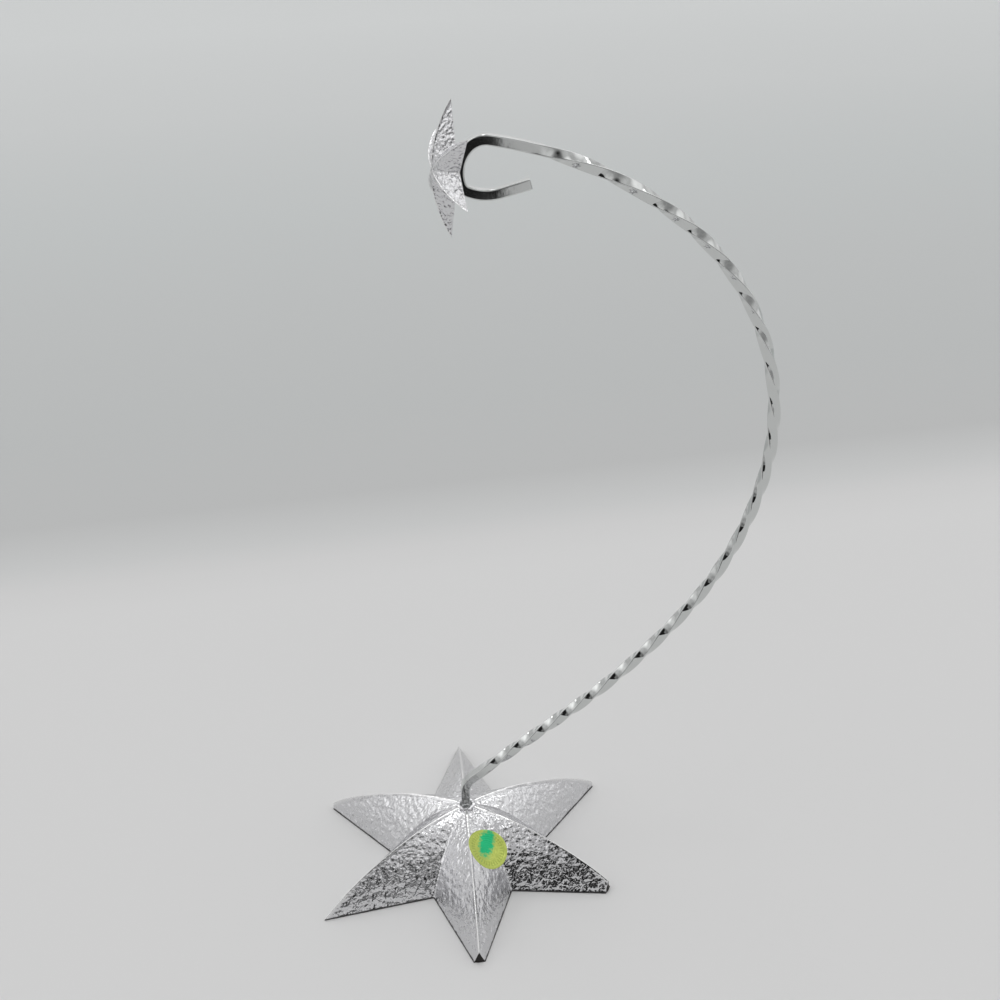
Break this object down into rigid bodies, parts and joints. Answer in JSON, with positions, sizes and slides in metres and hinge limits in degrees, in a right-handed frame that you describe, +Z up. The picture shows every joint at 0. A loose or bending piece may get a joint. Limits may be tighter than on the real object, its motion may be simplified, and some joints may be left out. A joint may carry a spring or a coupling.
{
  "type": "ornament stand",
  "caption": "Table stand for one hanging ornament: a twisted square bar bent into a crook with a hook at its end, on a hollow star base, with a small star on the hook.",
  "frame": {"origin": "centre of the base star on the table", "axes": "+Z up, +X towards the belly of the crook, +Y to the back as pictured"},
  "size_m": [0.2024, 0.1435, 0.3424],
  "materials": {
    "twisted_bar": "polished plated steel bar with sharp reflections",
    "star_shell": "bright plated shell with a fine hammered face",
    "small_star": "bright plated shell with a fine hammered face",
    "label_foil": "iridescent foil film, green to yellow"
  },
  "bodies": {
    "root": {"hook_bar": "twisted_bar", "base_star": "star_shell", "top_star": "small_star", "foil_label": "label_foil"}
  },
  "joints": []
}
